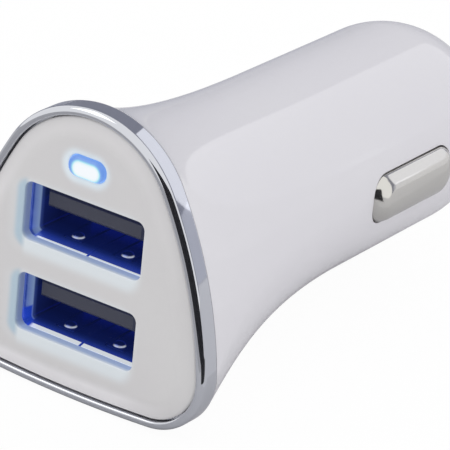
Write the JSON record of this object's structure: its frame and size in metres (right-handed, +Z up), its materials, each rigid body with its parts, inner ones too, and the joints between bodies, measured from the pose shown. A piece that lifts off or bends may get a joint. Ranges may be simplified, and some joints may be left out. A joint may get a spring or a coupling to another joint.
{
  "type": "car usb charger plug",
  "caption": "White plug for a car's 12 V socket with stacked USB charging ports in a flared, chrome-rimmed head, sprung side contacts and a sprung centre pin.",
  "frame": {"origin": "on the plug's axis, level with the middle of the two side contacts", "axes": "+Y along the plug axis towards the centre pin, +Z up towards the indicator side of the head, +X to the right seen from the port face"},
  "size_m": [0.0288, 0.0656, 0.0286],
  "materials": {
    "white_shell": "polished moulded ABS and PC",
    "face_white": "polished moulded ABS and PC",
    "chrome_trim": "bright plated ABS",
    "lens_clear": "clear moulded polycarbonate",
    "lamp_epoxy": "cast clear epoxy with tinned leads",
    "port_steel": "nickel-plated folded steel",
    "port_insulator": "moulded filled nylon",
    "gold_contact": "gold-flashed bronze",
    "board": "solder-masked glass epoxy",
    "chip_black": "moulded epoxy",
    "ferrite": "sintered ferrite",
    "copper_wire": "enamelled copper",
    "can_aluminium": "drawn aluminium can",
    "ceramic": "fired ceramic with tinned ends",
    "nickel": "bright nickel plate",
    "spring_steel": "drawn spring wire",
    "bronze_leaf": "rolled phosphor bronze",
    "brass_plate": "stamped brass"
  },
  "bodies": {
    "housing": {"main_shell": "white_shell", "trim_ring": "chrome_trim", "face_plate": "face_white", "led_lens": "lens_clear", "indicator_led": "lamp_epoxy", "usb_shell_upper": "port_steel", "usb_shell_lower": "port_steel", "usb_insulator_upper": "port_insulator", "usb_insulator_lower": "port_insulator", "usb_contacts_upper": "gold_contact", "usb_contacts_lower": "gold_contact", "port_board": "board", "port_leds": "ceramic", "main_board": "board", "buck_controller": "chip_black", "charge_controller": "chip_black", "inductor_core": "ferrite", "inductor_winding": "copper_wire", "input_capacitor": "can_aluminium", "output_capacitor": "can_aluminium", "catch_diode": "chip_black", "input_fuse": "ceramic", "chip_parts": "ceramic", "ground_spring_left": "bronze_leaf", "ground_spring_right": "bronze_leaf", "tip_terminal": "brass_plate", "tip_spring": "spring_steel"},
    "contact_left": {"ground_contact_left": "nickel"},
    "contact_right": {"ground_contact_right": "nickel"},
    "centre_pin": {"tip_pin": "nickel"}
  },
  "joints": [
    {"name": "contact_left_press", "type": "slide", "parent": "housing", "child": "contact_left", "axis": [1, 0, 0], "range_m": [0, 0.0011], "stiffness_N_per_m": 300, "springref_m": -0.002, "deforming": ["ground_spring_left"]},
    {"name": "contact_right_press", "type": "slide", "parent": "housing", "child": "contact_right", "axis": [-1, 0, 0], "range_m": [0, 0.0011], "stiffness_N_per_m": 300, "springref_m": -0.002, "deforming": ["ground_spring_right"]},
    {"name": "centre_pin_press", "type": "slide", "parent": "housing", "child": "centre_pin", "axis": [0, -1, 0], "range_m": [0, 0.0025], "stiffness_N_per_m": 400, "springref_m": -0.003, "deforming": ["tip_spring"]}
  ]
}
